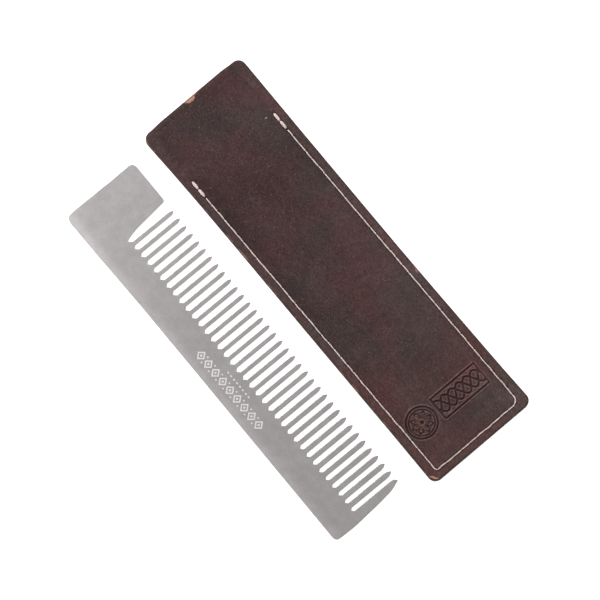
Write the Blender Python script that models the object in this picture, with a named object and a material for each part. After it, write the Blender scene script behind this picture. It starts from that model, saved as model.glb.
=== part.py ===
"""A steel beard comb lying beside its stitched leather sheath, in metres with +Z up.

X runs from the sheath's mouth to its closed end. Y runs from the comb to the sheath, so the teeth
point along +Y. The origin is under the middle of the pair, on the surface that both lie on.
"""

import math

import bmesh
import bpy
from mathutils import Matrix, Vector

# Comb: one flat plate, with a solid block at the end that the fingers hold.
COMB_LENGTH = 0.127
COMB_WIDTH = 0.026
COMB_THICKNESS = 0.0016
BAR_WIDTH = 0.0095  # from the spine to the roots of the slots
SPINE_HANDLE_RADIUS = 0.0008
SPINE_TIP_RADIUS = 0.0015

# Handle block: the side that faces the teeth leans towards them as it goes down to the bar.
HANDLE_LENGTH = 0.0151
HANDLE_OUTER_RADIUS = 0.0018
HANDLE_INNER_RADIUS = 0.0008
HANDLE_FOOT = (0.0162, 0.0140, 0.0060)
HANDLE_HEEL = (0.0170, 0.0103, 0.0008)
HANDLE_ROOT = (0.0176, 0.0092, 0.0002)

# Teeth: one pitch for all, narrow beside the handle and wider towards the far end.
TOOTH_COUNT = 35
TOOTH_PITCH = 0.003013
FIRST_TOOTH = 0.0191
NARROW_TEETH = 17
NARROW_TOOTH = 0.00136
WIDE_TOOTH = 0.00178
POINT_LENGTH = 0.0015
POINT_RADIUS = 0.00025
SHOULDER_RADIUS = 0.0015
ROOT_RADIUS = 0.0002

# End tooth: its inner side is straight, and its outer side leans in to the tip.
END_TOOTH_INNER = 0.12365
END_TOOTH_POINT = 0.1247
END_TOOTH_HIP = (COMB_LENGTH, 0.0075, 0.0200)
END_TOOTH_SHOULDER = (0.12595, 0.0222, 0.0050)

# Sheath: a flat back panel and a formed front panel, stitched together along three sides.
SHEATH_LENGTH = 0.1368
SHEATH_WIDTH = 0.0378
SHEATH_RADIUS = 0.0026
LEATHER = 0.0018
SEAM_LINE_GAP = 0.0001  # between the two panels along the seam
POCKET_HEIGHT = 0.0021
POCKET_SLOPE = 0.0018  # width of the pocket's sloping side
CROWN_SLOPE = 0.0025  # width of the same slope on the outside

# Seam: both threads lie in round grooves, so the back rests flat.
SEAM_INSET = 0.0030
SEAM_START = 0.0198  # from the mouth
SEAM_CLEARANCE = 0.0005  # from the stitches to the pocket
SEAM_RADIUS_COMB_SIDE = 0.0010
SEAM_RADIUS_FAR_SIDE = 0.0020
THREAD_RADIUS = 0.00022
GROOVE_RADIUS = 0.00040
THREAD_LIFT = 0.00003  # the lower thread stays this far above the surface

# Layout of the pair.
TIPS_TO_SHEATH = 0.0073
COMB_SHIFT = -0.0010  # the comb's middle is this far from the sheath's, along X
COMB_TURN = math.radians(-0.54)  # the comb doesn't lie quite parallel to the sheath

ARC_STEP = math.radians(30)
CORNER_STEPS = 4
TUBE_RESOLUTION = 2

TURN_DROP = COMB_LENGTH / 2 * math.sin(-COMB_TURN)  # how far the turn takes the spine's far end out
TOTAL_WIDTH = TURN_DROP + COMB_WIDTH + TIPS_TO_SHEATH + SHEATH_WIDTH
COMB_Y = (COMB_WIDTH - TOTAL_WIDTH) / 2 + TURN_DROP
SHEATH_Y = (TOTAL_WIDTH - SHEATH_WIDTH) / 2
FRONT_Z = LEATHER + SEAM_LINE_GAP
SEAM_Y = SHEATH_WIDTH / 2 - SEAM_INSET
SEAM_END = SHEATH_LENGTH - SEAM_INSET


def clear_scene():
    for obj in list(bpy.data.objects):
        bpy.data.objects.remove(obj)


def material(name, colour, roughness, metallic=0.0):
    made = bpy.data.materials.new(name)
    made.use_nodes = True
    shader = made.node_tree.nodes["Principled BSDF"]
    shader.inputs["Base Color"].default_value = (*colour, 1.0)
    shader.inputs["Roughness"].default_value = roughness
    shader.inputs["Metallic"].default_value = metallic
    return made


def add_object(name, data, finish, parent=None, location=(0, 0, 0)):
    obj = bpy.data.objects.new(name, data)
    bpy.context.scene.collection.objects.link(obj)
    if data is not None:
        data.materials.append(finish)
    obj.parent = parent
    obj.location = location
    return obj


def rounded(corners, closed=True):
    """The line through corners (x, y, radius), with each corner made into an arc."""
    points = []
    for i, (x, y, radius) in enumerate(corners):
        corner = Vector((x, y))
        if not closed and i in (0, len(corners) - 1):
            points.append(corner)
            continue
        back = (Vector(corners[i - 1][:2]) - corner).normalized()
        ahead = (Vector(corners[(i + 1) % len(corners)][:2]) - corner).normalized()
        half = back.angle(ahead) / 2
        centre = corner + (back + ahead).normalized() * radius / math.sin(half)
        spoke = corner + back * radius / math.tan(half) - centre
        side = math.copysign(1, back.y * ahead.x - back.x * ahead.y)
        turn = side * (math.pi - 2 * half)
        steps = max(1, round(abs(turn) / ARC_STEP))
        points += [centre + Matrix.Rotation(turn * k / steps, 2) @ spoke for k in range(steps + 1)]
    return points


def plate_mesh(name, outline, thickness, shift=(0, 0)):
    """A flat plate with that outline, its lower face at Z 0."""
    bm = bmesh.new()
    verts = [bm.verts.new((p.x + shift[0], p.y + shift[1], 0)) for p in outline]
    lower = bm.faces.new(verts)
    upper = bmesh.ops.extrude_face_region(bm, geom=[lower])
    raised = [v for v in upper["geom"] if isinstance(v, bmesh.types.BMVert)]
    bmesh.ops.translate(bm, verts=raised, vec=(0, 0, thickness))
    bmesh.ops.triangulate(bm, faces=bm.faces, quad_method="BEAUTY", ngon_method="BEAUTY")
    bmesh.ops.recalc_face_normals(bm, faces=bm.faces)
    mesh = bpy.data.meshes.new(name)
    bm.to_mesh(mesh)
    bm.free()
    return mesh


def tooth_width(index):
    wider = max(0, index + 1 - NARROW_TEETH) / (TOOTH_COUNT - NARROW_TEETH)
    return NARROW_TOOTH + (WIDE_TOOTH - NARROW_TOOTH) * wider


def point_corners(right, tip, left):
    """The pointed end of a tooth between X right and X left. Rounding the point brings it to the tips' line."""
    half = math.atan((right - left) / 2 / POINT_LENGTH)
    apex = COMB_WIDTH + POINT_RADIUS * (1 / math.sin(half) - 1)
    return [
        (right, apex - POINT_LENGTH, SHOULDER_RADIUS),
        (tip, apex, POINT_RADIUS),
        (left, apex - POINT_LENGTH, SHOULDER_RADIUS),
    ]


def root_corners(right, left):
    """The V at the bottom of the slot between X right and X left."""
    depth = (right - left) / 2
    return [
        (right, BAR_WIDTH + depth, ROOT_RADIUS),
        ((right + left) / 2, BAR_WIDTH, ROOT_RADIUS),
        (left, BAR_WIDTH + depth, ROOT_RADIUS),
    ]


def comb_corners():
    """Corners (x, y, radius) of the comb, anticlockwise, from the handle's end of the spine."""
    end_half = math.atan((END_TOOTH_POINT - END_TOOTH_INNER) / POINT_LENGTH)
    end_apex = COMB_WIDTH + POINT_RADIUS * (1 / math.sin(end_half) - 1)
    corners = [
        (0, 0, SPINE_HANDLE_RADIUS),
        (COMB_LENGTH, 0, SPINE_TIP_RADIUS),
        END_TOOTH_HIP,
        END_TOOTH_SHOULDER,
        (END_TOOTH_POINT, end_apex, POINT_RADIUS),
        (END_TOOTH_INNER, end_apex - POINT_LENGTH, SHOULDER_RADIUS),
    ]
    wall = END_TOOTH_INNER
    for index in reversed(range(TOOTH_COUNT)):
        middle = FIRST_TOOTH + index * TOOTH_PITCH
        half = tooth_width(index) / 2
        corners += root_corners(wall, middle + half)
        corners += point_corners(middle + half, middle, middle - half)
        wall = middle - half
    corners += [
        (wall, HANDLE_HEEL[1], ROOT_RADIUS),
        HANDLE_ROOT,
        HANDLE_HEEL,
        HANDLE_FOOT,
        (HANDLE_LENGTH, COMB_WIDTH, HANDLE_INNER_RADIUS),
        (0, COMB_WIDTH, HANDLE_OUTER_RADIUS),
    ]
    return corners


def make_comb():
    shift = (-COMB_LENGTH / 2, -COMB_WIDTH / 2)
    mesh = plate_mesh("comb", rounded(comb_corners()), COMB_THICKNESS, shift)
    steel = material("tumbled_steel", (0.42, 0.41, 0.41), 0.38, 1.0)
    comb = add_object("comb", mesh, steel, location=(COMB_SHIFT, COMB_Y, 0))
    comb.rotation_euler.z = COMB_TURN


def sheath_outline():
    """Corners (x, y, radius) of a leather panel, anticlockwise."""
    edge = SHEATH_WIDTH / 2
    return [
        (0, -edge, SHEATH_RADIUS),
        (SHEATH_LENGTH, -edge, SHEATH_RADIUS),
        (SHEATH_LENGTH, edge, SHEATH_RADIUS),
        (0, edge, SHEATH_RADIUS),
    ]


def rise(distance, slope):
    """How much of the pocket's height a panel has at a distance inside the foot of its slope."""
    return min(1, max(0, distance / slope))


def front_panel_mesh():
    """The front panel as columns of points across the sheath, flat at the seam and raised over the pocket."""
    foot_y, foot_x = SEAM_Y - SEAM_CLEARANCE, SEAM_END - SEAM_CLEARANCE
    turns = [math.pi / 2 * k / CORNER_STEPS for k in range(CORNER_STEPS + 1)]
    from_end = {SHEATH_RADIUS * (1 - math.cos(turn)): SHEATH_RADIUS * (1 - math.sin(turn)) for turn in turns}
    columns = {x: inset for x, inset in from_end.items()}
    columns.update({SHEATH_LENGTH - x: inset for x, inset in from_end.items()})
    columns.update({foot_x - slope: 0 for slope in (0, POCKET_SLOPE, CROWN_SLOPE)})
    rows = [foot_y - slope for slope in (0, POCKET_SLOPE, CROWN_SLOPE)]

    bm = bmesh.new()
    lower, upper = [], []
    for x, inset in sorted(columns.items()):
        edge = SHEATH_WIDTH / 2 - inset
        line = [-edge, *[-row for row in rows], *reversed(rows), edge]
        inner = [rise(foot_y - abs(y), POCKET_SLOPE) * rise(foot_x - x, POCKET_SLOPE) for y in line]
        outer = [rise(foot_y - abs(y), CROWN_SLOPE) * rise(foot_x - x, CROWN_SLOPE) for y in line]
        lower.append([bm.verts.new((x, y, POCKET_HEIGHT * h)) for y, h in zip(line, inner)])
        upper.append([bm.verts.new((x, y, LEATHER + POCKET_HEIGHT * h)) for y, h in zip(line, outer)])
    for skin in (lower, upper):
        for near, far in zip(skin, skin[1:]):
            for j in range(len(near) - 1):
                bm.faces.new((near[j], far[j], far[j + 1], near[j + 1]))
    down = [column[0] for column in lower], [column[-1] for column in lower], lower[0], lower[-1]
    up = [column[0] for column in upper], [column[-1] for column in upper], upper[0], upper[-1]
    for low, high in zip(down, up):
        for j in range(len(low) - 1):
            bm.faces.new((low[j], low[j + 1], high[j + 1], high[j]))
    bmesh.ops.recalc_face_normals(bm, faces=bm.faces)
    mesh = bpy.data.meshes.new("sheath_front_panel")
    bm.to_mesh(mesh)
    bm.free()
    return mesh


def seam_curve(name, radius, z, overrun=0.0):
    """A round tube along the seam, from the mouth end of one row to the mouth end of the other."""
    start = SEAM_START - overrun
    route = rounded(
        [
            (start, -SEAM_Y, 0),
            (SEAM_END, -SEAM_Y, SEAM_RADIUS_COMB_SIDE),
            (SEAM_END, SEAM_Y, SEAM_RADIUS_FAR_SIDE),
            (start, SEAM_Y, 0),
        ],
        closed=False,
    )
    curve = bpy.data.curves.new(name, "CURVE")
    curve.dimensions = "3D"
    curve.bevel_depth = radius
    curve.bevel_resolution = TUBE_RESOLUTION
    curve.use_fill_caps = True
    spline = curve.splines.new("POLY")
    spline.points.add(len(route) - 1)
    for point, place in zip(spline.points, route):
        point.co = (place.x, place.y, z, 1)
    return curve


def cut_groove(panel, finish, z):
    """Cuts the stitch groove into a panel, along the seam at height z of the panel's parent."""
    curve = seam_curve(panel.name + "_groove", GROOVE_RADIUS, z, overrun=GROOVE_RADIUS)
    guide = bpy.data.objects.new("guide", curve)
    mesh = bpy.data.meshes.new_from_object(guide)
    bpy.data.objects.remove(guide)
    cutter = add_object(panel.name + "_groove", mesh, finish, parent=panel.parent)
    cutter.hide_render = True
    cutter.display_type = "WIRE"
    groove = panel.modifiers.new("stitch_groove", "BOOLEAN")
    groove.operation = "DIFFERENCE"
    groove.solver = "EXACT"
    groove.object = cutter


def make_sheath():
    sheath = add_object("sheath", None, None, location=(-SHEATH_LENGTH / 2, SHEATH_Y, 0))
    leather = material("waxed_leather", (0.080, 0.050, 0.048), 0.62)
    lining = material("waxed_leather_back", (0.072, 0.045, 0.042), 0.68)
    cotton = material("waxed_thread", (0.78, 0.68, 0.60), 0.75)

    back_mesh = plate_mesh("sheath_back_panel", rounded(sheath_outline()), LEATHER)
    back = add_object("sheath_back_panel", back_mesh, lining, parent=sheath)
    lower_z = THREAD_RADIUS + THREAD_LIFT
    cut_groove(back, lining, lower_z)
    add_object("bobbin_thread", seam_curve("bobbin_thread", THREAD_RADIUS, lower_z), cotton, sheath)

    front = add_object(
        "sheath_front_panel", front_panel_mesh(), leather, parent=sheath, location=(0, 0, FRONT_Z)
    )
    upper_z = FRONT_Z + LEATHER
    cut_groove(front, leather, upper_z)
    add_object("needle_thread", seam_curve("needle_thread", THREAD_RADIUS, upper_z), cotton, sheath)


def main():
    clear_scene()
    make_comb()
    make_sheath()


main()
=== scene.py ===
"""Looks of the steel beard comb and its stitched leather sheath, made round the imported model.

Lengths are in metres. The sheath's own coordinates are s, from its mouth towards its closed end,
and t, across it from its middle line, positive on the side away from the comb.
"""

import math

import bmesh
import bpy
import numpy as np
from mathutils import Matrix, Vector, noise
from mathutils.geometry import delaunay_2d_cdt


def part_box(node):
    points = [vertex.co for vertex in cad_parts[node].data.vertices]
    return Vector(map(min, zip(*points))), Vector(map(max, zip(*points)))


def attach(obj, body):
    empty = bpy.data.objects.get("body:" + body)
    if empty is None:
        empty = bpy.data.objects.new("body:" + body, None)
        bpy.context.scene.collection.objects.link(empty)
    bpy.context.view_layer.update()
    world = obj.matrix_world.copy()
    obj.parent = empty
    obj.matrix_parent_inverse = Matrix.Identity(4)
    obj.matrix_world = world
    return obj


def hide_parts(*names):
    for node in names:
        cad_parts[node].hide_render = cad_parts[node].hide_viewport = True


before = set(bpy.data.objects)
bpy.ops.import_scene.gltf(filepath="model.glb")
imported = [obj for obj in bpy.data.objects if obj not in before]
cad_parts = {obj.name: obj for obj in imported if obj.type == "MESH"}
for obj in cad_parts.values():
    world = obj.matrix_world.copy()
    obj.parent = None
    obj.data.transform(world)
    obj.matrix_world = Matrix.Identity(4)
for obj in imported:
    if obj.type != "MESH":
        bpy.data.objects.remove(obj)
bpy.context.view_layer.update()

MM = 0.001

# Places that come from the frame.
FRONT_LOW, FRONT_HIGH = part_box("sheath_front_panel")
BACK_LOW, BACK_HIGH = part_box("sheath_back_panel")
NEEDLE_LOW, NEEDLE_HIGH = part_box("needle_thread")
COMB_LOW, COMB_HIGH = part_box("comb")

MOUTH_X = FRONT_LOW.x
MIDDLE_Y = (FRONT_LOW.y + FRONT_HIGH.y) / 2
LENGTH = FRONT_HIGH.x - FRONT_LOW.x
HALF_WIDTH = (FRONT_HIGH.y - FRONT_LOW.y) / 2
LEATHER = BACK_HIGH.z - BACK_LOW.z
FLANGE_TOP = FRONT_LOW.z + LEATHER
CROWN = FRONT_HIGH.z - FLANGE_TOP
THREAD_RADIUS = (NEEDLE_HIGH.z - NEEDLE_LOW.z) / 2

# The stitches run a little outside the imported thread's middle line, and start a little after it.
SEAM_S = NEEDLE_HIGH.x - THREAD_RADIUS - MOUTH_X + 0.45 * MM
SEAM_T = (NEEDLE_HIGH.y - NEEDLE_LOW.y) / 2 - THREAD_RADIUS + 0.18 * MM
SEAM_START = NEEDLE_LOW.x - MOUTH_X + 0.3 * MM

# Leather.
CORNER = 2.6 * MM
CUT_EDGE = 0.50 * MM  # rounding of a panel's outer edge
EDGE_BULGE = 0.04 * MM
INNER_EDGE = 0.20 * MM
SLOPE_CLEARANCE = 0.5 * MM  # from the stitches to the foot of the pocket's slope
OUTER_SLOPE = 4.2 * MM
INNER_SLOPE = 3.4 * MM
MOUTH_LIFT = 0.25 * MM
BACK_WAVE = 0.03 * MM
ARC_STEPS = 4

# Seam.
STITCH = 3.0 * MM
TURN_COMB_SIDE = 1.0 * MM
TURN_FAR_SIDE = 2.2 * MM
GROOVE_DEPTH = 0.20 * MM
GROOVE_WIDTH = 0.55 * MM
HOLE_DEPTH = 0.42 * MM
HOLE_WIDTH = 0.42 * MM
SWELL_HEIGHT = 0.05 * MM  # the leather beside the groove is pushed up, except at the holes
SWELL_AWAY = 1.0 * MM
SWELL_WIDTH = 0.45 * MM
SWELL_CLEAR = 1.6 * MM
SEAM_BAND = 1.0 * MM  # the meshes are fine this far on both sides of the seam
TACK_STITCHES = 2
TACK_GAP = 0.20  # share of a stitch left open after the doubled ones
SUNK = 0.63 * MM  # how deep the lower stitches lie, so that the sheath rests on its leather
SUNK_DIP = 2.2  # how many times deeper the leather's dip is there than on top

# Ornament pressed into the front panel near its closed end.
ORNAMENT_S = 120.4 * MM
ROSETTE_T = -10.2 * MM
RING_RADIUS = 4.8 * MM
THIN_RING_RADIUS = 3.95 * MM
THIN_LINE = 0.14 * MM
FLOWER_RADIUS = 3.7 * MM
PETAL_ROOT = 1.2 * MM
PETAL_LENGTH = 2.1 * MM
HEART_RADIUS = 0.6 * MM
BRAID_T = (-3.9 * MM, 13.2 * MM)
BRAID_PERIOD = 8.55 * MM
BRAID_HEIGHT = 2.35 * MM
BORDER_AWAY = 3.7 * MM
BORDER_LINE = 0.22 * MM
PRESS_DEPTH = 0.42 * MM
PRESS_LINE = 0.24 * MM  # half the width of a pressed line
PRESS_SOFT = 0.18 * MM
PRESS_BANK = 0.30 * MM  # how wide the leather is pushed up beside a line, and painted lighter there as a painted highlight
BANK_HEIGHT = 0.16 * MM


# ---------------------------------------------------------------- materials

# Base colours, linear.
STEEL = ((0.552, 0.524, 0.522), (0.568, 0.537, 0.539))
ETCHED = ((0.70, 0.69, 0.69), (0.80, 0.79, 0.79))
LEATHER_GREY = (0.0462, 0.0308, 0.0304)
LEATHER_RED = (0.0645, 0.0281, 0.0284)
LEATHER_PATCH = (0.0650, 0.0410, 0.0386)
LEATHER_VEIN = (0.0900, 0.0610, 0.0580)
LEATHER_SPECK = (0.21, 0.135, 0.118)
LEATHER_PRESSED_AND_SHADE = (0.015, 0.0095, 0.0095)
LEATHER_RUBBED = (0.47, 0.235, 0.170)
CLOSED_END_TINT = (1.02, 1.02, 0.95)
EDGE_BURNISHED = ((0.034, 0.021, 0.019), (0.070, 0.042, 0.035))
EDGE_RAW = ((0.16, 0.085, 0.058), (0.27, 0.155, 0.112))
FLESH_SIDE = ((0.090, 0.052, 0.038), (0.135, 0.082, 0.060))
THREAD = ((0.72, 0.575, 0.535), (0.855, 0.745, 0.705))
THREAD_STAIN = (0.50, 0.335, 0.275)

SPINE_PAINTED_HIGHLIGHT = 1.20  # how much brighter the steel is painted at the spine, as a painted highlight
SPINE_PAINTED_HIGHLIGHT_WIDTH = 3.6 * MM


class Nodes:
    """A material's node tree, with short calls for the nodes that this script uses."""

    def __init__(self, name):
        self.material = bpy.data.materials.new(name)
        self.material.use_nodes = True
        self.tree = self.material.node_tree
        self.shader = self.tree.nodes["Principled BSDF"]
        self.place = self.add("ShaderNodeTexCoord").outputs["Object"]

    def add(self, kind, **settings):
        node = self.tree.nodes.new(kind)
        for name, value in settings.items():
            setattr(node, name, value)
        return node

    def link(self, source, target):
        self.tree.links.new(source, target)

    def put(self, socket, value):
        """Links value to the socket if it is an output, or else sets it. A colour has three numbers."""
        if isinstance(value, bpy.types.NodeSocket):
            self.link(value, socket)
        else:
            socket.default_value = (*value, 1) if isinstance(value, tuple) else value

    def noise(self, scale, detail=4.0, roughness=0.55, distortion=0.0, place=None):
        node = self.add("ShaderNodeTexNoise")
        self.link(place or self.place, node.inputs["Vector"])
        node.inputs["Scale"].default_value = scale
        node.inputs["Detail"].default_value = detail
        node.inputs["Roughness"].default_value = roughness
        node.inputs["Distortion"].default_value = distortion
        return node.outputs["Fac"]

    def cells(self, scale, feature="F1"):
        node = self.add("ShaderNodeTexVoronoi", feature=feature)
        self.link(self.place, node.inputs["Vector"])
        node.inputs["Scale"].default_value = scale
        return node.outputs["Distance"]

    def spread(self, value, low, high, to_low=0.0, to_high=1.0):
        """value mapped from low..high to to_low..to_high, and held there outside."""
        node = self.add("ShaderNodeMapRange", interpolation_type="SMOOTHSTEP")
        self.put(node.inputs["Value"], value)
        node.inputs["From Min"].default_value = low
        node.inputs["From Max"].default_value = high
        node.inputs["To Min"].default_value = to_low
        node.inputs["To Max"].default_value = to_high
        return node.outputs["Result"]

    def math(self, operation, a, b=0.0):
        node = self.add("ShaderNodeMath", operation=operation)
        self.put(node.inputs[0], a)
        self.put(node.inputs[1], b)
        return node.outputs[0]

    def mix(self, share, a, b, blend="MIX"):
        node = self.add("ShaderNodeMix", data_type="RGBA", blend_type=blend)
        self.put(node.inputs["Factor"], share)
        self.put(node.inputs["A"], a)
        self.put(node.inputs["B"], b)
        return node.outputs["Result"]

    def product(self, value, *others):
        for other in others:
            value = self.math("MULTIPLY", value, other)
        return value

    def shaded(self, colour, tone):
        """The colour times the tone."""
        grey = self.add("ShaderNodeCombineColor")
        for channel in grey.inputs:
            self.link(tone, channel)
        return self.mix(1.0, colour, grey.outputs[0], "MULTIPLY")

    def attribute(self, name):
        return self.add("ShaderNodeAttribute", attribute_name=name).outputs["Fac"]

    def dot(self, vector):
        node = self.add("ShaderNodeVectorMath", operation="DOT_PRODUCT")
        self.link(self.place, node.inputs[0])
        node.inputs[1].default_value = vector
        return node.outputs["Value"]

    def stretched(self, scale):
        node = self.add("ShaderNodeMapping")
        self.link(self.place, node.inputs["Vector"])
        node.inputs["Scale"].default_value = scale
        return node.outputs["Vector"]

    def bump(self, height, distance, strength=1.0, under=None):
        node = self.add("ShaderNodeBump")
        self.link(height, node.inputs["Height"])
        node.inputs["Distance"].default_value = distance
        node.inputs["Strength"].default_value = strength
        if under is not None:
            self.link(under, node.inputs["Normal"])
        return node.outputs["Normal"]

    def finish(self, colour, roughness, normal=None, **sockets):
        self.put(self.shader.inputs["Base Color"], colour)
        self.put(self.shader.inputs["Roughness"], roughness)
        if normal is not None:
            self.link(normal, self.shader.inputs["Normal"])
        for name, value in sockets.items():
            self.shader.inputs[name.replace("_", " ")].default_value = value
        return self.material


def steel_material():
    """Stainless steel after tumbling: an even satin with a fine random grain and faint cloudy patches,
    and a painted highlight along the comb's hand-ground spine."""
    n = Nodes("tumbled_steel")
    grain = n.noise(2600, 3, 0.7)
    fine = n.noise(6500, 2, 0.6)
    from_spine = n.math("SUBTRACT", n.dot((*COMB_Y, 0)), float(COMB_ORIGIN @ COMB_Y))
    colour = n.mix(n.spread(n.noise(70, 3, 0.5), 0.35, 0.65), *STEEL)
    colour = n.shaded(colour, n.spread(n.noise(420, 4, 0.6), 0.3, 0.7, 0.95, 1.05))
    colour = n.shaded(colour, n.spread(grain, 0.3, 0.7, 0.925, 1.075))
    # Painted highlight along the spine.
    colour = n.shaded(colour, n.spread(from_spine, 0, SPINE_PAINTED_HIGHLIGHT_WIDTH, SPINE_PAINTED_HIGHLIGHT, 1.0))
    roughness = n.spread(n.noise(160, 5, 0.6), 0.3, 0.7, 0.345, 0.375)
    normal = n.bump(fine, 0.000012, 0.5, under=n.bump(grain, 0.00003, 0.45))
    return n.finish(colour, roughness, normal, Metallic=1.0)


def etched_material():
    """Etched steel: paler and duller than the plate round it."""
    n = Nodes("etched_steel")
    grain = n.noise(5200, 3, 0.7)
    colour = n.mix(n.spread(grain, 0.3, 0.7), *ETCHED)
    return n.finish(colour, 0.62, n.bump(grain, 0.00003, 0.5), Metallic=0.75)


def leather_colour(n):
    """Greyer and redder clouds, paler patches, a mottled tone, the stored tone with its painted light and
    shade, faint veins and pale specks.
    """
    colour = n.mix(n.spread(n.noise(48, 4, 0.55, 0.6), 0.34, 0.69), LEATHER_GREY, LEATHER_RED)
    patch = n.spread(n.noise(150, 5, 0.6, 0.4), 0.42, 0.70, 0, 0.45)
    colour = n.mix(patch, colour, LEATHER_PATCH)
    colour = n.mix(n.attribute("warmth"), colour, CLOSED_END_TINT, "MULTIPLY")
    tone = n.product(
        n.spread(n.noise(560, 5, 0.65), 0.28, 0.72, 0.86, 1.14),
        # The stored tone, which holds painted light and shade.
        n.attribute("tone"),
        n.spread(n.noise(1700, 3, 0.6), 0.30, 0.70, 0.74, 1.28),
        n.spread(n.noise(36, 3, 0.5), 0.34, 0.66, 0.91, 1.09),
    )
    colour = n.shaded(colour, tone)
    veins = n.spread(n.cells(330, "DISTANCE_TO_EDGE"), 0.0, 0.10, 0.25, 0.0)
    veins = n.product(veins, n.spread(n.noise(210, 3), 0.45, 0.62))
    colour = n.mix(veins, colour, LEATHER_VEIN)
    specks = n.product(n.spread(n.noise(2300, 2, 0.5), 0.650, 0.74), 0.65)
    return n.mix(specks, colour, LEATHER_SPECK)


def leather_material():
    """Waxed leather, darker where it is pressed in, with painted shade in its seam's groove, needle holes
    and pressed lines, and rubbed through to tan at its scuffs.
    """
    n = Nodes("waxed_leather")
    # Darker where the leather is pressed in: the tooled lines' own darker colour, and painted shade in the
    # seam's groove, the needle holes and the ornament's lines.
    colour = n.mix(n.product(n.attribute("pressed_and_painted_shade"), 0.66), leather_colour(n), LEATHER_PRESSED_AND_SHADE)
    scuff = n.math("ADD", n.attribute("scuff"), n.spread(n.noise(1300, 4, 0.7), 0.3, 0.7, -0.24, 0.20))
    colour = n.mix(n.spread(scuff, 0.32, 0.72, 0.0, 0.9), colour, LEATHER_RUBBED)
    normal = n.bump(n.noise(260, 5, 0.6), 0.00012, 0.35)
    normal = n.bump(n.cells(1150), 0.00005, 0.4, under=normal)
    normal = n.bump(n.noise(1500, 4, 0.65), 0.00006, 0.6, under=normal)
    roughness = n.spread(n.noise(500, 4, 0.6), 0.3, 0.7, 0.52, 0.70)
    return n.finish(colour, roughness, normal, Specular_IOR_Level=0.14)


def edge_material():
    """The cut edge of a panel: burnished dark in places and raw tan in others, in fibre layers."""
    n = Nodes("cut_leather_edge")
    raw = n.math("ADD", n.attribute("raw"), n.spread(n.noise(260, 4, 0.65), 0.3, 0.7, -0.35, 0.35))
    fibres = n.noise(900, 5, 0.7, place=n.stretched((0.35, 0.35, 3.0)))
    dark = n.mix(n.spread(fibres, 0.3, 0.7), *EDGE_BURNISHED)
    tan = n.mix(n.spread(fibres, 0.3, 0.7), *EDGE_RAW)
    colour = n.mix(n.spread(raw, 0.35, 0.75), dark, tan)
    return n.finish(colour, 0.78, n.bump(fibres, 0.00008, 0.6), Specular_IOR_Level=0.25)


def suede_material():
    """The flesh side, which lines the pocket."""
    n = Nodes("flesh_side_leather")
    nap = n.noise(1700, 5, 0.75)
    colour = n.mix(n.spread(n.noise(120, 4, 0.6), 0.3, 0.7), *FLESH_SIDE)
    colour = n.shaded(colour, n.spread(nap, 0.3, 0.7, 0.72, 1.22))
    return n.finish(colour, 0.95, n.bump(nap, 0.00012, 0.8), Specular_IOR_Level=0.15, Sheen_Weight=0.25)


def thread_material():
    """Waxed polyester thread, cream, with fine fibres along the ply and a few stains."""
    n = Nodes("waxed_thread")
    fibres = n.noise(5200, 3, 0.6)
    colour = n.mix(n.spread(fibres, 0.3, 0.7), *THREAD)
    stain = n.spread(n.noise(300, 3), 0.52, 0.75, 0.0, 0.35)
    colour = n.mix(stain, colour, THREAD_STAIN)
    return n.finish(colour, 0.62, n.bump(fibres, 0.00003, 0.6), Sheen_Weight=0.2)


# ---------------------------------------------------------------- mesh helpers


def new_piece(name, verts, faces, materials, indices=None):
    mesh = bpy.data.meshes.new(name)
    mesh.from_pydata([tuple(v) for v in verts], [], [tuple(f) for f in faces])
    for made in materials:
        mesh.materials.append(made)
    if indices is not None:
        mesh.polygons.foreach_set("material_index", np.asarray(indices, np.int32))
    mesh.shade_smooth()
    mesh.update()
    piece = bpy.data.objects.new(name, mesh)
    bpy.context.scene.collection.objects.link(piece)
    return piece


def add_shape(verts, faces, new_verts, new_faces):
    """Adds a shape to the two lists, its faces renumbered."""
    first = len(verts)
    verts += new_verts
    faces += [tuple(first + i for i in face) for face in new_faces]


def set_point_values(piece, name, values):
    attribute = piece.data.attributes.new(name, "FLOAT", "POINT")
    attribute.data.foreach_set("value", np.asarray(values, np.float32))


def smooth(value):
    value = np.clip(value, 0, 1)
    return value * value * (3 - 2 * value)


def soft_noise(points, size, seed=0.0):
    """Smooth noise at each point, about -1 to 1, with that feature size."""
    return np.array([noise.noise(Vector((x / size, y / size, seed))) for x, y in points])


def marched(start, stop, coarse, zones):
    """Coordinates from start to stop, coarse apart, and closer in each zone (low, high, step)."""
    at, made = start, [start]
    while at < stop - 1e-9:
        step = min([coarse] + [fine for low, high, fine in zones if low - fine < at < high])
        at += step
        made.append(at)
    made = np.array(made)
    return start + (made - start) * (stop - start) / (made[-1] - start)


# ---------------------------------------------------------------- seam


def seam_path():
    """Points (s, t) on the seam and their distances along it. It runs along the comb side, across the
    closed end and back along the far side."""
    corners = [
        (SEAM_START, -SEAM_T, 0),
        (SEAM_S, -SEAM_T, TURN_COMB_SIDE),
        (SEAM_S, SEAM_T, TURN_FAR_SIDE),
        (SEAM_START, SEAM_T, 0),
    ]
    line = [Vector(corners[0][:2])]
    for before, (s, t, radius), after in zip(corners, corners[1:], corners[2:]):
        corner = Vector((s, t))
        back = (Vector(before[:2]) - corner).normalized()
        ahead = (Vector(after[:2]) - corner).normalized()
        centre = corner + (back + ahead) * radius
        steps = 12
        for k in range(steps + 1):
            angle = math.pi / 2 * k / steps
            line.append(centre - ahead * radius * math.cos(angle) - back * radius * math.sin(angle))
    line.append(Vector(corners[-1][:2]))
    line = np.array(line)
    along = np.concatenate([[0], np.cumsum(np.linalg.norm(np.diff(line, axis=0), axis=1))])
    return line, along


SEAM_LINE, SEAM_ALONG = seam_path()


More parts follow.
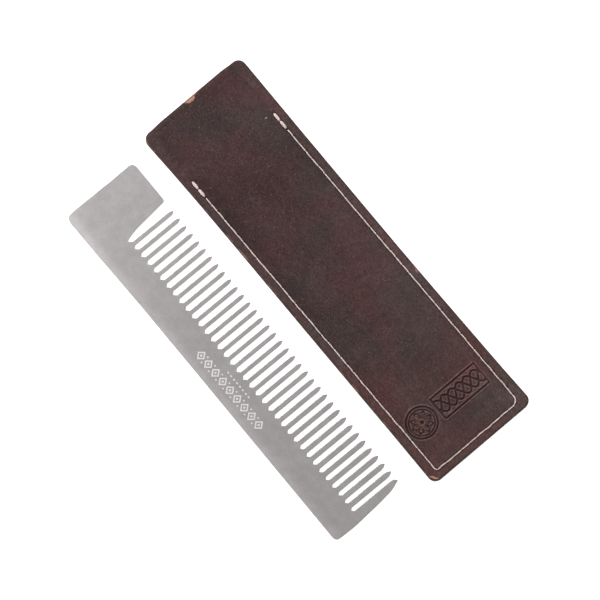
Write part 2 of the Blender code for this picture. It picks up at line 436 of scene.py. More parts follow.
def seam_at(distances):
    return np.stack([np.interp(distances, SEAM_ALONG, SEAM_LINE[:, k]) for k in range(2)], axis=1)


STITCHES = round(SEAM_ALONG[-1] / STITCH)
HOLES_ALONG = np.linspace(0, SEAM_ALONG[-1], STITCHES + 1)
HOLES = seam_at(HOLES_ALONG)
SEAM_DENSE = seam_at(np.arange(0, SEAM_ALONG[-1], 0.15 * MM))


def distance_to(points, targets, reach):
    """Distance from each point to the nearest target. Where that is over reach, it gives reach."""
    result = np.full(len(points), reach)
    for low in range(0, len(points), 2000):
        part = points[low : low + 2000]
        low_s, high_s = part[:, 0].min() - reach, part[:, 0].max() + reach
        nearby = targets[(targets[:, 0] > low_s) & (targets[:, 0] < high_s)]
        if len(nearby):
            gaps = np.linalg.norm(part[:, None] - nearby[None], axis=2).min(axis=1)
            result[low : low + 2000] = np.minimum(gaps, reach)
    return result


def seam_dip(points):
    """How far the thread pulls the leather's surface down: a groove, with a pit at each needle hole. Then
    the distances to the seam and to the nearest hole, up to reach."""
    reach = 2.0 * MM
    line = distance_to(points, SEAM_DENSE, reach)
    hole = distance_to(points, HOLES, reach)
    dip = GROOVE_DEPTH * np.exp(-((line / GROOVE_WIDTH) ** 2))
    dip += HOLE_DEPTH * np.exp(-((hole / HOLE_WIDTH) ** 2))
    swell = SWELL_HEIGHT * np.exp(-(((line - SWELL_AWAY) / SWELL_WIDTH) ** 2))
    return dip - swell * smooth(hole / SWELL_CLEAR), line, hole


# ---------------------------------------------------------------- ornament


def line_mark(distance, half):
    """1 inside a line of that half width, falling to 0 outside it."""
    return smooth(1 - (np.abs(distance) - half) / PRESS_SOFT)


def rosette(u, v, grow):
    """A ring round an eight-petalled flower. grow widens its lines."""
    v = v - ROSETTE_T
    r, angle = np.hypot(u, v), np.arctan2(v, u)
    ring = line_mark(r - RING_RADIUS, PRESS_LINE + grow)
    thin = line_mark(r - THIN_RING_RADIUS, THIN_LINE + grow)
    petal = r - (PETAL_ROOT + PETAL_LENGTH * np.abs(np.cos(4 * angle)) ** 0.8)
    flower = line_mark(petal, PRESS_LINE + grow) * (r < FLOWER_RADIUS)
    heart = smooth(1 - (r - HEART_RADIUS - grow) / PRESS_SOFT)
    return np.maximum.reduce([ring, thin, flower, heart])


def braid(u, v, grow):
    """Three waves that cross, between two straight borders. grow widens its lines."""
    wave = 2 * math.pi / BRAID_PERIOD
    low, high = BRAID_T
    inside = (v > low) & (v < high)
    marks = []
    for strand in range(3):
        turn = wave * (v - low) + strand * 2 * math.pi / 3
        slope = BRAID_HEIGHT * wave * np.cos(turn)
        away = (u - BRAID_HEIGHT * np.sin(turn)) / np.sqrt(1 + slope**2)
        marks.append(line_mark(away, PRESS_LINE + grow))
    for edge in (-BORDER_AWAY, BORDER_AWAY):
        marks.append(line_mark(u - edge, BORDER_LINE + grow))
    ends = np.maximum(line_mark(v - low, BORDER_LINE + grow), line_mark(v - high, BORDER_LINE + grow))
    return np.maximum(np.maximum.reduce(marks) * inside, ends * (np.abs(u) < BORDER_AWAY + 0.25 * MM))


def pressed_mark(points):
    """The pressed lines, and the leather that they push up on both sides of them, which also gets a
    painted highlight.
    """
    u, v = points[:, 0] - ORNAMENT_S, points[:, 1]
    line = np.maximum(rosette(u, v, 0), braid(u, v, 0))
    wider = np.maximum(rosette(u, v, PRESS_BANK), braid(u, v, PRESS_BANK))
    return line, np.maximum(wider - line, 0)


# ---------------------------------------------------------------- leather panels


def rise(points, slope):
    foot_t, foot_s = SEAM_T - SLOPE_CLEARANCE, SEAM_S - SLOPE_CLEARANCE
    across = smooth((foot_t - np.abs(points[:, 1])) / slope)
    return across * smooth((foot_s - points[:, 0]) / slope)


# How far each long side is cut outside its nominal line, as (share of the length, distance in mm).
FAR_CUT = ((0, 0.47), (0.20, 0.20), (0.55, -0.10), (0.68, -0.04), (0.90, 0.20), (1, 0.50))
COMB_CUT = ((0, 0.26), (0.10, -0.06), (0.20, -0.19), (0.35, -0.14), (0.55, 0.05), (0.85, 0.16), (1, 0.34))
MOUTH_SHORT = 0.25 * MM
CLOSED_LONG = 0.14 * MM
END_SKEW = 0.04 * MM


def cut_shape(points):
    """The hand-cut outline: a slight waist on both long sides, the mouth cut a little short and askew,
    and the closed end a little long."""
    s, t = points[:, 0] / LENGTH, points[:, 1] / HALF_WIDTH
    far_side = np.interp(s, *np.transpose(FAR_CUT)) * MM
    comb_side = np.interp(s, *np.transpose(COMB_CUT)) * MM
    t_shift = np.where(t > 0, far_side, -comb_side) * t**2
    s_shift = (1 - s) * MOUTH_SHORT + s * CLOSED_LONG - END_SKEW * t
    return points + np.stack([s_shift, t_shift], axis=1)


def rounded_grid(s_lines, t_lines, corner):
    """Points of a grid whose four corners are rounded, and which way is outwards at each."""
    s, t = np.meshgrid(s_lines, t_lines, indexing="ij")
    half_s, half_t = (s_lines[-1] - s_lines[0]) / 2, t_lines[-1]
    middle = (s_lines[-1] + s_lines[0]) / 2
    a, b = np.abs(s - middle) - (half_s - corner), np.abs(t) - (half_t - corner)
    turned = (a > 0) & (b > 0)
    length = np.where(turned, np.hypot(a, b), 1)
    shrink = np.where(turned, np.maximum(a, b) / length, 1)
    sign_s, sign_t = np.sign(s - middle), np.sign(t)
    s = np.where(turned, middle + sign_s * (half_s - corner + a * shrink), s)
    t = np.where(turned, sign_t * (half_t - corner + b * shrink), t)
    on_end = np.abs(a - corner) < 1e-9
    out_s = np.where(turned, sign_s * a / length, np.where(on_end, sign_s, 0))
    out_t = np.where(turned, sign_t * b / length, np.where(on_end, 0, sign_t))
    return np.stack([s, t], axis=2), np.stack([out_s, out_t], axis=2)


def rim_indices(rows, columns):
    """Index pairs round a grid's rim, in order, starting at its first corner."""
    rim = [(i, 0) for i in range(rows - 1)]
    rim += [(rows - 1, j) for j in range(columns - 1)]
    rim += [(i, columns - 1) for i in range(rows - 1, 0, -1)]
    rim += [(0, j) for j in range(columns - 1, 0, -1)]
    return rim


def grid_faces(rows, columns, first, turned):
    i, j = np.meshgrid(np.arange(rows - 1), np.arange(columns - 1), indexing="ij")
    a = first + i * columns + j
    quads = np.stack([a, a + columns, a + columns + 1, a + 1], axis=2).reshape(-1, 4)
    return [tuple(q) for q in (quads[:, ::-1] if turned else quads)]


def edge_rings(top, bottom, up):
    """The cut edge from the fine side's rim to the plain side's, as (distance outwards, heights)."""
    rings = []
    for angle in np.linspace(0, math.pi / 2, ARC_STEPS + 1)[1:]:
        rings.append((CUT_EDGE * math.sin(angle), top - up * CUT_EDGE * (1 - math.cos(angle))))
    rings.append((CUT_EDGE + EDGE_BULGE, (top + bottom) / 2))
    for angle in np.linspace(0, math.pi / 2, 3):
        inset = CUT_EDGE - INNER_EDGE * (1 - math.cos(angle))
        rings.append((inset, bottom + up * INNER_EDGE * (1 - math.sin(angle))))
    return rings


def ring_faces(before, after, up):
    """Faces between two rings of vertices."""
    count = len(before)
    faces = []
    for q in range(count):
        r = (q + 1) % count
        quad = (before[q], before[r], after[r], after[q])
        faces.append(quad[::-1] if up > 0 else quad)
    return faces


def plain_faces(rows, columns, kept_rows, kept_columns, position, up):
    """The plain side's faces between the kept grid lines. The outermost take in all rim vertices."""
    faces = []
    for i0, i1 in zip(kept_rows, kept_rows[1:]):
        for j0, j1 in zip(kept_columns, kept_columns[1:]):
            loop = [(i, j0) for i in range(i0, i1)] if j0 == 0 else [(i0, j0)]
            loop += [(i1, j) for j in range(j0, j1)] if i1 == rows - 1 else [(i1, j0)]
            loop += [(i, j1) for i in range(i1, i0, -1)] if j1 == columns - 1 else [(i1, j1)]
            loop += [(i0, j) for j in range(j1, j0, -1)] if i0 == 0 else [(i0, j1)]
            face = tuple(position[pair] for pair in loop)
            faces.append(face if up < 0 else face[::-1])
    return faces


def spread_to_rim(places, s_lines, t_lines):
    """The plain side's inner points, moved apart to fit its wider rim."""
    wider = CUT_EDGE - INNER_EDGE
    middle = (s_lines[0] + s_lines[-1]) / 2
    scale_s = wider / (s_lines[-1] - s_lines[0]) * 2 + 1
    scale_t = wider / t_lines[-1] + 1
    return np.column_stack([middle + (places[:, 0] - middle) * scale_s, places[:, 1] * scale_t])


def leather_panel(name, fine_z, plain_z, s_lines, t_lines, skip, up):
    """A closed panel. Its fine side is the one that shows, with every grid line, and its plain side keeps
    every skip-th line. fine_z and plain_z give heights for points (s, t). up is 1 if the fine side is on
    top, and -1 if it is below."""
    grid, outwards = rounded_grid(s_lines, t_lines, CORNER - CUT_EDGE)
    rows, columns = grid.shape[:2]
    flat = grid.reshape(-1, 2)
    verts = [np.column_stack([cut_shape(flat), fine_z(flat)])]
    fine = grid_faces(rows, columns, 0, up < 0)

    rim = rim_indices(rows, columns)
    rim_points = np.array([grid[pair] for pair in rim])
    out = np.array([outwards[pair] for pair in rim])
    ring = np.array([i * columns + j for i, j in rim])
    first = rows * columns
    edge = []
    for reach, height in edge_rings(fine_z(rim_points), plain_z(rim_points), up):
        verts.append(np.column_stack([cut_shape(rim_points + out * reach), height]))
        new = first + np.arange(len(rim))
        edge += ring_faces(ring, new, up)
        ring = new
        first += len(rim)

    kept_rows = sorted({*range(0, rows, skip), rows - 1})
    kept_columns = sorted({*range(0, columns, skip), columns - 1})
    inner = [(i, j) for i in kept_rows[1:-1] for j in kept_columns[1:-1]]
    places = spread_to_rim(np.array([grid[pair] for pair in inner]), s_lines, t_lines)
    verts.append(np.column_stack([cut_shape(places), plain_z(places)]))
    position = {pair: ring[q] for q, pair in enumerate(rim)}
    position.update({pair: first + k for k, pair in enumerate(inner)})
    plain = plain_faces(rows, columns, kept_rows, kept_columns, position, up)

    verts = np.concatenate(verts)
    points = verts[:, :2].copy()
    verts[:, :2] += (MOUTH_X, MIDDLE_Y)
    kinds = [0] * len(fine) + [1] * len(edge) + [2] * len(plain)
    materials = [LEATHER_LOOK, EDGE_LOOK, SUEDE_LOOK]
    return new_piece(name, verts, fine + edge + plain, materials, kinds), points


def mouth_lift(points):
    return MOUTH_LIFT * np.clip(1 - points[:, 0] / SEAM_START, 0, 1) ** 2


def front_outside(points):
    dip, _, _ = seam_dip(points)
    raised = rise(points, OUTER_SLOPE)
    wave = 0.06 * MM * soft_noise(points, 17 * MM) + 0.015 * MM * soft_noise(points, 4.5 * MM, 3.0)
    inwards = smooth((HALF_WIDTH - np.abs(points[:, 1])) / (3 * MM))
    z = FLANGE_TOP + CROWN * raised + mouth_lift(points) + wave * inwards - dip
    line, bank = pressed_mark(points)
    return z - PRESS_DEPTH * line + BANK_HEIGHT * bank


def front_inside(points):
    return FRONT_LOW.z + CROWN * rise(points, INNER_SLOPE) + mouth_lift(points)


def back_outside(points):
    """The lower side, pulled up further at the seam, because its stitches lie sunk in the leather."""
    dip, _, _ = seam_dip(points)
    wave = BACK_WAVE * (1 + soft_noise(points, 21 * MM, 8.0))
    return BACK_LOW.z + wave + SUNK_DIP * np.maximum(dip, 0)


def back_inside(points):
    return np.full(len(points), BACK_HIGH.z)


# The leather's tone along its length, as (share of the length, tone).
TONE_ALONG = (
    (0, 0.84), (0.06, 0.85), (0.15, 0.93), (0.25, 0.70), (0.36, 0.91),
    (0.45, 1.00), (0.63, 1.02), (0.73, 1.10), (0.85, 1.11), (1, 1.22),
)
# The same outside the seam.
MARGIN_TONE_ALONG = (
    (0, 1.00), (0.06, 1.04), (0.15, 1.15), (0.35, 1.24), (0.45, 1.37),
    (0.63, 1.42), (0.73, 1.29), (0.83, 1.24), (0.93, 1.47), (1, 1.54),
)


def leather_tone_and_painted_light(points):
    """How bright the leather is from place to place: lighter outside the seam; painted light towards the
    far side and at the closed end, a painted highlight by the mouth, painted shade inside the comb side's
    row."""
    s, t = points[:, 0], points[:, 1]
    edge = np.maximum(np.abs(t) - SEAM_T, s - SEAM_S)
    tone = np.interp(s / LENGTH, *np.transpose(TONE_ALONG))
    tone *= 1 - 0.06 * np.exp(-(((t - 1 * MM) / (7 * MM)) ** 2))
    # Painted light on the slope before the closed end.
    tone += 0.42 * smooth((s - SEAM_S + 6.5 * MM) / (4.5 * MM))
    margin = smooth((edge + 0.3 * MM) / (0.8 * MM))
    tone = tone * (1 - margin) + np.interp(s / LENGTH, *np.transpose(MARGIN_TONE_ALONG)) * margin
    # Painted light: lighter towards the far side.
    tone += 0.12 * smooth((t - 3 * MM) / (7 * MM))
    # Painted shade just inside the comb side's row.
    tone -= 0.07 * np.exp(-(((t + SEAM_T - 2.2 * MM) / (2.2 * MM)) ** 2)) * (s > SEAM_START)
    tone -= 0.14 * smooth((np.abs(t) - HALF_WIDTH + 1.1 * MM) / (0.7 * MM))
    # Painted highlight along the mouth's edge.
    return tone + 0.22 * np.exp(-(((s - 1.0 * MM) / (0.5 * MM)) ** 2))


def near(points, s, t, size_s, size_t):
    return np.exp(-(((points[:, 0] - s) / size_s) ** 2) - (((points[:, 1] - t) / size_t) ** 2))


def streak(points, s, t, length, width, turn):
    """Like near, but along a line at that turn from the sheath's length."""
    away_s, away_t = points[:, 0] - s, points[:, 1] - t
    along = away_s * math.cos(turn) + away_t * math.sin(turn)
    across = away_t * math.cos(turn) - away_s * math.sin(turn)
    return np.exp(-((along / length) ** 2) - ((across / width) ** 2))


def leather_scuffs(points):
    """Where the dark surface is rubbed through to tan: the mouth's edge, a corner and a few nicks."""
    half = HALF_WIDTH
    turn, other_turn = math.radians(42), math.radians(40)
    marks = [
        2.60 * near(points, 0.2 * MM, -0.6 * MM, 1.15 * MM, 1.6 * MM),
        1.25 * streak(points, LENGTH - 0.9 * MM, -half + 1.2 * MM, 1.1 * MM, 0.30 * MM, turn),
        0.95 * streak(points, LENGTH - 2.0 * MM, -half + 0.6 * MM, 1.1 * MM, 0.34 * MM, other_turn),
        0.50 * near(points, 5.6 * MM, -half + 0.1 * MM, 0.8 * MM, 0.30 * MM),
        0.60 * near(points, 84 * MM, half - 0.8 * MM, 1.6 * MM, 0.4 * MM),
        0.85 * near(points, SEAM_START - 0.3 * MM, SEAM_T - 2.6 * MM, 0.20 * MM, 0.9 * MM),
    ]
    return np.maximum.reduce(marks)


def raw_edge(points):
    """Where the cut edge stayed raw: more of it along the comb side."""
    side = smooth((-points[:, 1] - HALF_WIDTH + 1.2 * MM) / (0.8 * MM))
    return 0.16 + 0.15 * side


def panel_lines(coarse_s, coarse_t, fine, s_zones):
    """Grid lines along both directions, fine at the seam and in the zones that are given."""
    edge_s, edge_t = LENGTH - CUT_EDGE, HALF_WIDTH - CUT_EDGE
    zones = [(place - SEAM_BAND, place + SEAM_BAND, fine) for place in (SEAM_S, -SEAM_T, SEAM_T)]
    s_lines = marched(CUT_EDGE, edge_s, coarse_s, s_zones + zones[:1])
    return s_lines, marched(-edge_t, edge_t, coarse_t, zones[1:])


def make_front_panel():
    s_zones = [(ORNAMENT_S - 5.3 * MM, ORNAMENT_S + 5.3 * MM, 0.19 * MM)]
    s_lines, t_lines = panel_lines(0.32 * MM, 0.26 * MM, 0.16 * MM, s_zones)
    piece, points = leather_panel("sheath_front", front_outside, front_inside, s_lines, t_lines, 4, 1)
    shade_leather(piece, points, leather_tone_and_painted_light(points))
    return piece


def make_back_panel():
    s_lines, t_lines = panel_lines(0.42 * MM, 0.60 * MM, 0.20 * MM, [])
    piece, points = leather_panel("sheath_back", back_outside, back_inside, s_lines, t_lines, 3, -1)
    shade_leather(piece, points, np.full(len(points), 0.98))
    return piece


def open_hole_painted_shade(points):
    """Painted shade for the holes that no thread fills: one before the comb side's row, and one after each
    doubled part.
    """
    before = 0.9 * near(points, SEAM_START - 1.3 * MM, -SEAM_T - 0.1 * MM, 0.5 * MM, 0.4 * MM)
    ends = (TACK_STITCHES, -1 - TACK_STITCHES)
    after = [0.9 * near(points, *HOLES[k], 0.36 * MM, 0.34 * MM) for k in ends]
    return np.maximum.reduce([before, *after])


def shade_leather(piece, points, tone):
    """Stores what the leather's materials read: tone with its painted light and shade, scuffs, raw edge,
    and what is pressed in, with painted shade in the seam's groove, the needle holes and the ornament's
    lines.
    """
    _, line, hole = seam_dip(points)
    # Painted shade in the needle holes and along the seam's groove.
    hole_painted_shade = np.exp(-((hole / (0.40 * MM)) ** 2))
    groove_painted_shade = 0.28 * np.exp(-((line / (0.45 * MM)) ** 2))
    pressed_and_painted_shade = np.maximum(hole_painted_shade, groove_painted_shade)
    if piece.name == "sheath_front":
        ornament, bank = pressed_mark(points)
        # The ornament's lines are darker where pressed, with painted shade in them too; the open holes get
        # painted shade.
        pressed_and_painted_shade = np.maximum.reduce([pressed_and_painted_shade, 0.66 * ornament**2, open_hole_painted_shade(points)])
        # Painted highlight on the leather pushed up beside the ornament's lines.
        tone = tone * (1 + 1.5 * bank)
    set_point_values(piece, "tone", tone)
    set_point_values(piece, "warmth", smooth((points[:, 0] / LENGTH - 0.50) / 0.35))
    set_point_values(piece, "pressed_and_painted_shade", pressed_and_painted_shade)
    scuffs = leather_scuffs(points) * (piece.name == "sheath_front")
    set_point_values(piece, "scuff", scuffs)
    set_point_values(piece, "raw", raw_edge(points) + scuffs)


# ---------------------------------------------------------------- thread

# The passes of a doubled stitch: distance aside, height over the leather, and how its bulge is spread.
TACK_PASSES = ((-0.24 * MM, 0.22 * MM, 0.45), (0.24 * MM, 0.26 * MM, 0.45), (0.0, 0.34 * MM, 0.45))
TACK_WIDER = 1.05
TACK_TRIM = 0.05
STITCH_DIVE = 0.42 * MM
PLY_TURNS = 2.5
PLY_AWAY = 0.52  # of the thread's radius
PLY_RADIUS = 0.56


def cross_directions(points):
    """Two directions across the line through points, square to each other: sideways and up."""
    ahead = np.gradient(points, axis=0)
    ahead /= np.linalg.norm(ahead, axis=1)[:, None]
    side = np.cross(ahead, (0, 0, 1))
    side /= np.maximum(np.linalg.norm(side, axis=1)[:, None], 1e-12)
    return side, np.cross(side, ahead)


def swept(points, radius, sides):
    """Vertices and faces of a closed tube along points."""
    verts, faces = [], []
    side, up = cross_directions(points)
    for k, centre in enumerate(points):
        for q in range(sides):
            angle = 2 * math.pi * q / sides
            verts.append(centre + radius * (math.cos(angle) * side[k] + math.sin(angle) * up[k]))
    for k in range(len(points) - 1):
        for q in range(sides):
            r = (q + 1) % sides
            a, b = k * sides, (k + 1) * sides
            faces.append((a + q, a + r, b + r, b + q))
    last = (len(points) - 1) * sides
    faces.append(tuple(range(sides))[::-1])
    faces.append(tuple(last + q for q in range(sides)))
    return verts, faces


def stitch_line(k, aside, lift, spread, steps=17):
    """Centre (s, t, height) of stitch k: out of one hole, along the surface, and into the next."""
    share = np.linspace(0, 1, steps)
    doubled = min(k, STITCHES - 1 - k) < TACK_STITCHES
    start = TACK_GAP if k == TACK_STITCHES else TACK_TRIM * doubled
    stop = TACK_GAP if k == STITCHES - 1 - TACK_STITCHES else TACK_TRIM * doubled
    between = start + share * (1 - start - stop)
    flat = seam_at(HOLES_ALONG[k] + (HOLES_ALONG[k + 1] - HOLES_ALONG[k]) * between)
    ahead = np.gradient(flat, axis=0)
    ahead /= np.linalg.norm(ahead, axis=1)[:, None]
    across = np.stack([-ahead[:, 1], ahead[:, 0]], axis=1)
    bulge = np.sin(math.pi * share) ** spread
    dive = np.abs(2 * share - 1) ** 7
    height = lift - (lift + STITCH_DIVE) * dive
    return np.column_stack([flat + across * (aside * bulge)[:, None], height])


def plied(line, radius, turns):
    """The two plies of a twisted thread along a line."""
    side, up = cross_directions(line)
    angle = np.linspace(0, 2 * math.pi * turns, len(line))[:, None]
    away = (np.cos(angle) * side + np.sin(angle) * up) * radius * PLY_AWAY
    return [line + away, line - away]


def make_stitches(name, surface, up, ease):
    """All stitches on one side of the seam, with the doubled ones at both ends of it. ease is how much
    of its slack each stitch keeps."""
    verts, faces = [], []
    random = np.random.default_rng(11)
    for k in range(STITCHES):
        wander, slack = random.normal(0, 0.06 * MM), random.uniform(0.02, 0.14) * MM
        if min(k, STITCHES - 1 - k) < TACK_STITCHES:
            passes = TACK_PASSES
            radius = THREAD_RADIUS * TACK_WIDER
        else:
            passes = [(wander, slack, 1.5)]
            radius = THREAD_RADIUS * random.uniform(0.84, 1.02)
        for aside, lift, spread in passes:
            line = stitch_line(k, aside, lift * ease, spread)
            line[:, :2] += (MOUTH_X, MIDDLE_Y)
            line[:, 2] = surface + up * line[:, 2]
            for ply in plied(line, radius, PLY_TURNS):
                add_shape(verts, faces, *swept(ply, radius * PLY_RADIUS, 6))
    return new_piece(name, verts, faces, [THREAD_LOOK])


# ---------------------------------------------------------------- comb


EDGE_ROUND = 0.13 * MM
END_ROUND = 0.22 * MM
SPINE_ROUND = 0.20 * MM
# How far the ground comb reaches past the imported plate, in mm: at its two ends, by the distance from the
# spine, and at its spine and its tips, by the distance from the handle end.
HANDLE_GROWTH = ((0, 0.28), (5, 0.24), (10, 0.21), (18, 0.17), (26, 0.21))
FAR_GROWTH = (
    (0, 0.26), (3, 0.36), (6, 0.46), (12, 0.46),
    (16.5, 0.49), (21, 0.34), (24, 0.33), (26, 0.12),
)
SPINE_GROWTH = (
    (0, 0.62), (3, 0.60), (14, 0.50), (25, 0.30),
    (35, 0.15), (60, 0.10), (90, 0.15), (127, 0.13),
)
TIP_GROWTH = ((0, -0.22), (14, -0.22), (17, -0.19), (35, 0.00), (60, 0.14), (127, 0.21))
CORNER_CUT = 0.12 * MM
FLAT_STRIP = 0.03 * MM  # a narrow flat band inside the rounding, so that the faces shade flat
ROUND_STEPS = 6


def comb_outline():
    """The comb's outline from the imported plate, anticlockwise."""
    bm = bmesh.new()
    bm.from_mesh(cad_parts["comb"].data)
    bmesh.ops.remove_doubles(bm, verts=bm.verts, dist=1e-7)
    bmesh.ops.dissolve_limit(bm, angle_limit=math.radians(0.5), verts=bm.verts, edges=bm.edges)
    upper = max((f for f in bm.faces if f.normal.z > 0.9), key=lambda f: f.calc_area())
    outline = np.array([v.co.xy for v in upper.verts])
    bm.free()
    return outline


COMB_OUTLINE = comb_outline()


def comb_axes():
    """Where the comb's own coordinates start, at its handle end and spine, and the directions of x, along
    the spine, and of y, towards the teeth's tips. The spine is the outline's longest side."""
    ahead = np.roll(COMB_OUTLINE, -1, axis=0) - COMB_OUTLINE
    x_axis = ahead[np.argmax(np.linalg.norm(ahead, axis=1))]
    x_axis = x_axis / np.linalg.norm(x_axis)
    y_axis = np.array([-x_axis[1], x_axis[0]])
    low = np.array([(COMB_OUTLINE @ x_axis).min(), (COMB_OUTLINE @ y_axis).min()])
    return x_axis * low[0] + y_axis * low[1], x_axis, y_axis


COMB_ORIGIN, COMB_X, COMB_Y = comb_axes()


def comb_places(points):
    """World (x, y) of points in the comb's own coordinates."""
    points = np.asarray(points)
    return COMB_ORIGIN + points[:, :1] * COMB_X + points[:, 1:] * COMB_Y


def along_comb(outline):
    """Each point's distance along the spine from the handle end, and its distance from the spine."""
    return (outline - COMB_ORIGIN) @ COMB_X, (outline - COMB_ORIGIN) @ COMB_Y


def with_outer_points(outline):
    """The outline with the sides of the spine and of both ends split into short parts."""
    x, y = along_comb(outline)
    outer = (y < 1 * MM) | (x < 1 * MM) | (x > x.max() - 3 * MM)
    made = []
    for k, start in enumerate(outline):
        after = (k + 1) % len(outline)
        side = outline[after] - start
        parts = math.ceil(np.linalg.norm(side) / (1.5 * MM)) if outer[k] and outer[after] else 1
        made += [start + side * part / parts for part in range(parts)]
    return np.array(made)


def corners_cut(outline, reach):
    """Each corner replaced by two points, at most reach from it."""
    made = []
    for k, point in enumerate(outline):
        for other in (outline[k - 1], outline[(k + 1) % len(outline)]):
            away = other - point
            length = np.linalg.norm(away)
            made.append(point + away / length * min(reach, 0.27 * length))
    return np.array(made)


def inwards_of(outline):
    """For each point, the direction into the plate, long enough to keep both sides' distance."""
    after = np.roll(outline, -1, axis=0) - outline
    after /= np.linalg.norm(after, axis=1)[:, None]
    before = np.roll(after, 1, axis=0)
    normal = np.stack([-after[:, 1] - before[:, 1], after[:, 0] + before[:, 0]], axis=1)
    normal /= np.linalg.norm(normal, axis=1)[:, None]
    cosine = normal[:, 0] * -after[:, 1] + normal[:, 1] * after[:, 0]
    return normal / np.maximum(cosine, 0.5)[:, None]


def ground(outline):
    """The outline as the ends, the spine and the tips are ground by hand."""
    x, y = along_comb(outline)

    def growth(table, where):
        return np.interp(where / MM, *np.transpose(table)) * MM

    from_corner = smooth((x + y) / (2 * MM))
    grow_x = growth(FAR_GROWTH, y) * (x > x.max() - 3 * MM)
    grow_x -= growth(HANDLE_GROWTH, y) * smooth((2 * MM - x) / (1 * MM)) * from_corner
    grow_y = growth(TIP_GROWTH, x) * smooth((y - 24 * MM) / (1 * MM))
    grow_y -= growth(SPINE_GROWTH, x) * smooth((2 * MM - y) / (1 * MM)) * from_corner
    return outline + grow_x[:, None] * COMB_X + grow_y[:, None] * COMB_Y


def rounding(outline):
    """How round the plate's edges are at each point: more along the spine and at the handle end."""
    x, y = along_comb(outline)
    spine = 1 - smooth((y - 0.3 * MM) / (1.1 * MM))
    end = 1 - smooth((x - 0.2 * MM) / (0.9 * MM))
    return EDGE_ROUND + np.maximum((SPINE_ROUND - EDGE_ROUND) * spine, (END_ROUND - EDGE_ROUND) * end)


def rounded_rings(radius):
    """The plate's edge from its top face to its lower one, as (distance inwards, height)."""
    rings = [(radius + FLAT_STRIP, 0 * radius)]
    for angle in np.linspace(math.pi / 2, 0, ROUND_STEPS):
        rings.append((radius * (1 - math.cos(angle)), radius * (1 - math.sin(angle))))
    above = [(inset, COMB_HIGH.z - depth) for inset, depth in rings]
    return above + [(inset, COMB_LOW.z + depth) for inset, depth in reversed(rings)]


def make_comb():
    outline = ground(corners_cut(with_outer_points(COMB_OUTLINE), CORNER_CUT))
    inwards = inwards_of(outline)
    rings = rounded_rings(rounding(outline))
    count = len(outline)
    verts, faces = [], []
    for inset, height in rings:
        verts += list(np.column_stack([outline + inwards * inset[:, None], height]))
    for first in range(0, count * (len(rings) - 1), count):
        for k in range(first, first + count):
            after = first + (k + 1 - first) % count
            faces.append((k + count, after + count, after, k))
    last = count * (len(rings) - 1)
    top = [Vector(vert[:2] / MM) for vert in verts[:count]]
    for triangle in delaunay_2d_cdt(top, [], [range(count)], 1, 1e-6)[2]:
        faces.append(tuple(triangle))
        faces.append(tuple(last + k for k in reversed(triangle)))
    return new_piece("comb_plate", verts, faces, [STEEL_LOOK])


def prism(outline, low, high):
    """Vertices and faces of a thin flat shape with that outline, anticlockwise."""
    count = len(outline)
    verts = [(x, y, low) for x, y in outline] + [(x, y, high) for x, y in outline]
    faces = [tuple(range(count))[::-1], tuple(range(count, 2 * count))]
    faces += [(k, (k + 1) % count, count + (k + 1) % count, count + k) for k in range(count)]
    return verts, faces


def band(outer, inner):
    """Four-sided pieces between two outlines of equally many points, such as a lozenge's frame."""
    after = [(k + 1) % len(outer) for k in range(len(outer))]
    return [[outer[k], outer[r], inner[r], inner[k]] for k, r in enumerate(after)]


def lozenge(x, y, half_x, half_y):
    return [(x + half_x, y), (x, y + half_y), (x - half_x, y), (x, y - half_y)]


def disc(x, y, radius, sides=16):
    turns = [2 * math.pi * k / sides for k in range(sides)]
    return [(x + radius * math.cos(a), y + radius * math.sin(a)) for a in turns]


ETCH_HEIGHT = 0.012 * MM
ETCH_OVERLAP = 0.01 * MM  # how far the shapes go into the plate
ETCH_START = 56.5 * MM  # from the comb's handle end
ETCH_Y = 4.4 * MM  # from its spine
ETCH_COUNT = 9
ETCH_PITCH = 3.4 * MM
DOTS_START = 67.4 * MM
DOTS_Y = 7.4 * MM
DOTS_COUNT = 8


def etched_shapes():
    """A generic border on the bar: framed lozenges with dots between, and a short row of small ones."""
    shapes = []
    for k in range(ETCH_COUNT):
        x = ETCH_START + (k + 0.5) * ETCH_PITCH
        frame_out = lozenge(x, ETCH_Y, 1.50 * MM, 1.70 * MM)
        shapes += band(frame_out, lozenge(x, ETCH_Y, 0.98 * MM, 1.10 * MM))
        shapes.append(lozenge(x, ETCH_Y, 0.42 * MM, 0.48 * MM))
    for k in range(1, ETCH_COUNT):
        for side in (1, -1):
            shapes.append(disc(ETCH_START + k * ETCH_PITCH, ETCH_Y + side * 1.25 * MM, 0.27 * MM))
    for k in range(DOTS_COUNT):
        shapes.append(lozenge(DOTS_START + k * 1.38 * MM, DOTS_Y, 0.46 * MM, 0.32 * MM))
    return shapes


def make_etching():
    verts, faces = [], []
    for shape in etched_shapes():
        low, high = COMB_HIGH.z - ETCH_OVERLAP, COMB_HIGH.z + ETCH_HEIGHT
        add_shape(verts, faces, *prism(comb_places(shape), low, high))
    piece = new_piece("comb_etching", verts, faces, [ETCHED_LOOK])
    piece.data.shade_flat()
    return piece


# ---------------------------------------------------------------- stage, light and camera


IMAGE_TURN = math.radians(49.87)  # the sheath's length points this far below the picture's right
FRAME_WIDTH = 180.8 * MM
CAMERA_DISTANCE = 1.5
CAMERA_ELEVATION = math.radians(85)
VIEW_CENTRE = (0.0, MIDDLE_Y - 14.2 * MM)
# Soft lights: distances right of, up from and over the middle of the set, then size and power.
SOFTBOXES = (
    ("key", (-0.34, 0.30, 0.34), 0.28, 1.65),
    ("fill", (0.72, 0.45, 0.90), 0.90, 3.4),
    ("glow", (-0.17, 0.05, 0.25), 0.10, 0.078),
)


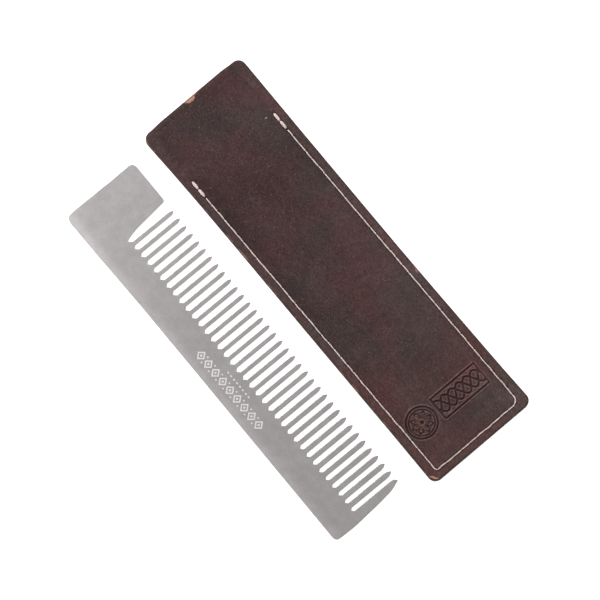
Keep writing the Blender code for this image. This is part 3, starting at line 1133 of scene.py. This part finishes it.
def picture_axes():
    """The directions that point right and up in the picture, on the floor."""
    right = Vector((math.cos(IMAGE_TURN), math.sin(IMAGE_TURN), 0))
    up = Vector((-math.sin(IMAGE_TURN), math.cos(IMAGE_TURN), 0))
    return right, up


def make_camera():
    right, up = picture_axes()
    back = -up * math.cos(CAMERA_ELEVATION) + Vector((0, 0, 1)) * math.sin(CAMERA_ELEVATION)
    data = bpy.data.cameras.new("camera")
    data.lens = data.sensor_width * CAMERA_DISTANCE / FRAME_WIDTH
    data.clip_start, data.clip_end = 0.05, 20
    camera = bpy.data.objects.new("camera", data)
    bpy.context.scene.collection.objects.link(camera)
    target = Vector((*VIEW_CENTRE, 2 * MM))
    turn = Matrix((right, back.cross(right), back)).transposed()
    camera.matrix_world = Matrix.Translation(target + back * CAMERA_DISTANCE) @ turn.to_4x4()
    bpy.context.scene.camera = camera


def make_floor():
    half = 4.0
    floor = new_piece(
        "floor",
        [(-half, -half, 0), (half, -half, 0), (half, half, 0), (-half, half, 0)],
        [(0, 1, 2, 3)],
        [],
    )
    n = Nodes("white_floor")
    floor.data.materials.append(n.finish((0.90, 0.90, 0.90), 0.9, Specular_IOR_Level=0.0))
    n.shader.inputs["Emission Color"].default_value = (1, 1, 1, 1)
    n.shader.inputs["Emission Strength"].default_value = 0.70


def make_softbox(name, place, size, power):
    """A square soft light that faces the middle of the set."""
    data = bpy.data.lights.new(name, "AREA")
    data.size, data.energy = size, power
    light = bpy.data.objects.new(name, data)
    bpy.context.scene.collection.objects.link(light)
    light.location = place
    light.rotation_mode = "QUATERNION"
    light.rotation_quaternion = Vector(place).to_track_quat("Z", "Y")
    light.visible_camera = False


def make_world():
    """White all round, brighter towards the horizon than overhead."""
    world = bpy.data.worlds.new("studio")
    world.use_nodes = True
    tree = world.node_tree
    place = tree.nodes.new("ShaderNodeTexCoord")
    axes = tree.nodes.new("ShaderNodeSeparateXYZ")
    strength = tree.nodes.new("ShaderNodeMapRange")
    for name, value in (("From Min", 0.25), ("From Max", 0.80), ("To Min", 0.88), ("To Max", 0.45)):
        strength.inputs[name].default_value = value
    tree.links.new(place.outputs["Generated"], axes.inputs["Vector"])
    tree.links.new(axes.outputs["Z"], strength.inputs["Value"])
    background = tree.nodes["Background"]
    background.inputs["Color"].default_value = (1, 1, 1, 1)
    tree.links.new(strength.outputs["Result"], background.inputs["Strength"])
    bpy.context.scene.world = world


def make_light():
    right, up = picture_axes()
    for name, (rightwards, upwards, height), size, power in SOFTBOXES:
        place = right * rightwards + up * upwards + Vector((0, 0, height))
        make_softbox(name, place, size, power)
    make_world()
    bpy.context.scene.view_settings.view_transform = "Standard"


# ---------------------------------------------------------------- all of it


make_camera()
make_light()
make_floor()

STEEL_LOOK = steel_material()
ETCHED_LOOK = etched_material()
LEATHER_LOOK = leather_material()
EDGE_LOOK = edge_material()
SUEDE_LOOK = suede_material()
THREAD_LOOK = thread_material()

PIECES = [
    (make_comb(), "comb", ["comb"], "steel"),
    (make_etching(), "comb", [], "steel"),
    (make_front_panel(), "sheath", ["sheath_front_panel"], "front_leather"),
    (make_back_panel(), "sheath", ["sheath_back_panel"], "back_leather"),
    (make_stitches("needle_stitches", FLANGE_TOP, 1, 1.0), "sheath", ["needle_thread"], "thread"),
    (make_stitches("bobbin_stitches", BACK_LOW.z + SUNK, -1, 0.4), "sheath", ["bobbin_thread"], "thread"),
]
for piece, body, nodes, slot in PIECES:
    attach(piece, body)
    if nodes:
        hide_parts(*nodes)
